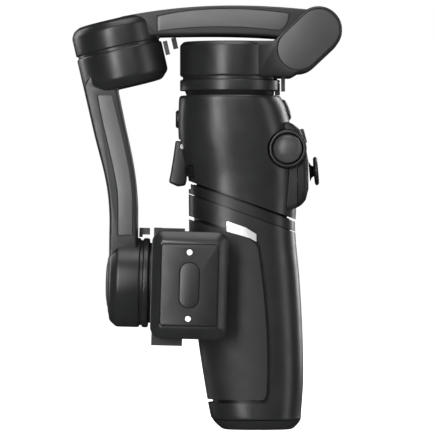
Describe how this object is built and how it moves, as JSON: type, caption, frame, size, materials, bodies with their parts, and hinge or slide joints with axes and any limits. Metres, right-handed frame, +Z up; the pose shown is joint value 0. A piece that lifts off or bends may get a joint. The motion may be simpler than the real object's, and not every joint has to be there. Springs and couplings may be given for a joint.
{
  "type": "gimbal stabilizer",
  "caption": "Handheld folding three-axis phone gimbal, folded, with trigger, joystick, dial, lock tabs and a contact plate mount for the phone.",
  "frame": {"origin": "on the pan axis at the base face", "axes": "+Z up along the pan axis; +X to the control console and the fold hinge; the phone mount faces -Y"},
  "size_m": [0.1157, 0.0592, 0.1814],
  "materials": {
    "satin_black": "satin moulded plastic",
    "deep_black": "fine matt plastic",
    "rubber": "matt soft rubber",
    "arm_grey": "satin grey paint",
    "cover_grey": "satin dark grey paint",
    "silver_trim": "bright plated",
    "steel": "turned steel",
    "copper": "wound copper wire",
    "board_green": "solder mask",
    "contact_white": "glossy white",
    "brass": "turned brass",
    "cell_wrap": "shrink wrap"
  },
  "bodies": {
    "handle": {"base_cap": "satin_black", "tripod_insert": "brass", "grip_core": "deep_black", "grip_sleeve": "rubber", "spine_cover": "satin_black", "collar_band": "deep_black", "trim_inlay_front": "silver_trim", "trim_inlay_rear": "silver_trim", "battery_cell": "cell_wrap", "main_board": "board_green", "upper_housing": "satin_black", "charge_socket": "deep_black", "trigger_pin": "steel", "control_board": "board_green", "console_crown": "deep_black", "console_body": "satin_black", "console_face": "deep_black", "dial_seat": "deep_black", "pan_base_ring": "satin_black", "pan_lock_catch": "deep_black", "pan_bearing": "steel", "pan_stator": "copper"},
    "pan_head": {"pan_arm": "satin_black", "pan_shaft": "steel", "pan_rotor": "steel", "hinge_cover_front": "cover_grey", "hinge_cover_rear": "cover_grey", "hinge_pin": "steel"},
    "folding_arm": {"fold_arm_shell": "satin_black", "fold_arm_strip": "arm_grey", "roll_stator": "copper", "roll_lock_catch": "deep_black"},
    "roll_frame": {"roll_arm_shell": "satin_black", "roll_arm_strip": "arm_grey", "roll_rotor": "steel", "roll_shaft": "steel", "tilt_end_cap": "cover_grey", "tilt_stator": "copper"},
    "phone_mount": {"tilt_rotor_ring": "satin_black", "tilt_rotor": "steel", "mount_bracket": "satin_black", "mount_housing": "satin_black", "mount_back_cover": "deep_black", "mount_face_plate": "deep_black", "mount_key": "satin_black", "mount_contact_upper": "contact_white", "mount_contact_lower": "contact_white", "mount_magnet_upper": "steel", "mount_magnet_lower": "steel", "mount_board": "board_green"},
    "trigger_body": {"trigger": "deep_black"},
    "front_button_body": {"front_button": "deep_black"},
    "power_button_body": {"power_button": "deep_black"},
    "shutter_button_body": {"shutter_button": "cover_grey"},
    "side_dial_body": {"side_dial": "cover_grey"},
    "joystick_yoke_body": {"joystick_yoke": "steel"},
    "joystick_cap_body": {"joystick_cap": "deep_black"},
    "pan_lock_body": {"pan_lock_tab": "cover_grey"},
    "roll_lock_body": {"roll_lock_tab": "cover_grey"},
    "tilt_lock_body": {"tilt_lock_tab": "cover_grey"}
  },
  "joints": [
    {"name": "pan", "type": "hinge", "parent": "handle", "child": "pan_head", "pos_m": [0, 0, 0.155], "axis": [0, 0, 1], "range_deg": [-155, 30]},
    {"name": "fold", "type": "hinge", "parent": "pan_head", "child": "folding_arm", "pos_m": [0.0377, 0, 0.1708], "axis": [0, 1, 0], "range_deg": [0, 134]},
    {"name": "roll", "type": "hinge", "parent": "folding_arm", "child": "roll_frame", "pos_m": [-0.0478, 0, 0.1632], "axis": [0.225, 0, -0.9744], "range_deg": [-5, 65]},
    {"name": "tilt", "type": "hinge", "parent": "roll_frame", "child": "phone_mount", "pos_m": [-0.0381, 0, 0.0628], "axis": [0.9997, 0, -0.0262], "range_deg": [-12, 12]},
    {"name": "trigger_pull", "type": "hinge", "parent": "handle", "child": "trigger_body", "pos_m": [-0.02, 0, 0.1214], "axis": [0, -1, 0], "range_deg": [0, 8], "stiffness_Nm_per_rad": 0.05, "springref_deg": -5.73},
    {"name": "front_button_press", "type": "slide", "parent": "handle", "child": "front_button_body", "axis": [1, 0, 0], "range_m": [0, 0.0008], "stiffness_N_per_m": 300, "springref_m": -0.0006},
    {"name": "power_button_press", "type": "slide", "parent": "handle", "child": "power_button_body", "axis": [-0.9397, 0, -0.342], "range_m": [0, 0.0008], "stiffness_N_per_m": 300, "springref_m": -0.0006},
    {"name": "shutter_button_press", "type": "slide", "parent": "handle", "child": "shutter_button_body", "axis": [-0.9659, 0, -0.2588], "range_m": [0, 0.0006], "stiffness_N_per_m": 300, "springref_m": -0.0006},
    {"name": "side_dial_turn", "type": "hinge", "parent": "handle", "child": "side_dial_body", "pos_m": [0.0245, -0.018, 0.1201], "axis": [0, -1, 0], "continuous": true},
    {"name": "joystick_pitch", "type": "hinge", "parent": "handle", "child": "joystick_yoke_body", "pos_m": [0.0315, 0, 0.1103], "axis": [0, 1, 0], "range_deg": [-8, 8], "stiffness_Nm_per_rad": 0.02},
    {"name": "joystick_yaw", "type": "hinge", "parent": "joystick_yoke_body", "child": "joystick_cap_body", "pos_m": [0.0315, 0, 0.1103], "axis": [-0.0819, 0, 0.9966], "range_deg": [-8, 8], "stiffness_Nm_per_rad": 0.02},
    {"name": "pan_lock_slide", "type": "slide", "parent": "pan_head", "child": "pan_lock_body", "axis": [0, 0, 1], "range_m": [0, 0.003]},
    {"name": "roll_lock_slide", "type": "slide", "parent": "roll_frame", "child": "roll_lock_body", "axis": [0.225, 0, -0.9744], "range_m": [0, 0.003]},
    {"name": "tilt_lock_slide", "type": "slide", "parent": "roll_frame", "child": "tilt_lock_body", "axis": [-0.9997, 0, 0.0262], "range_m": [0, 0.003]}
  ]
}
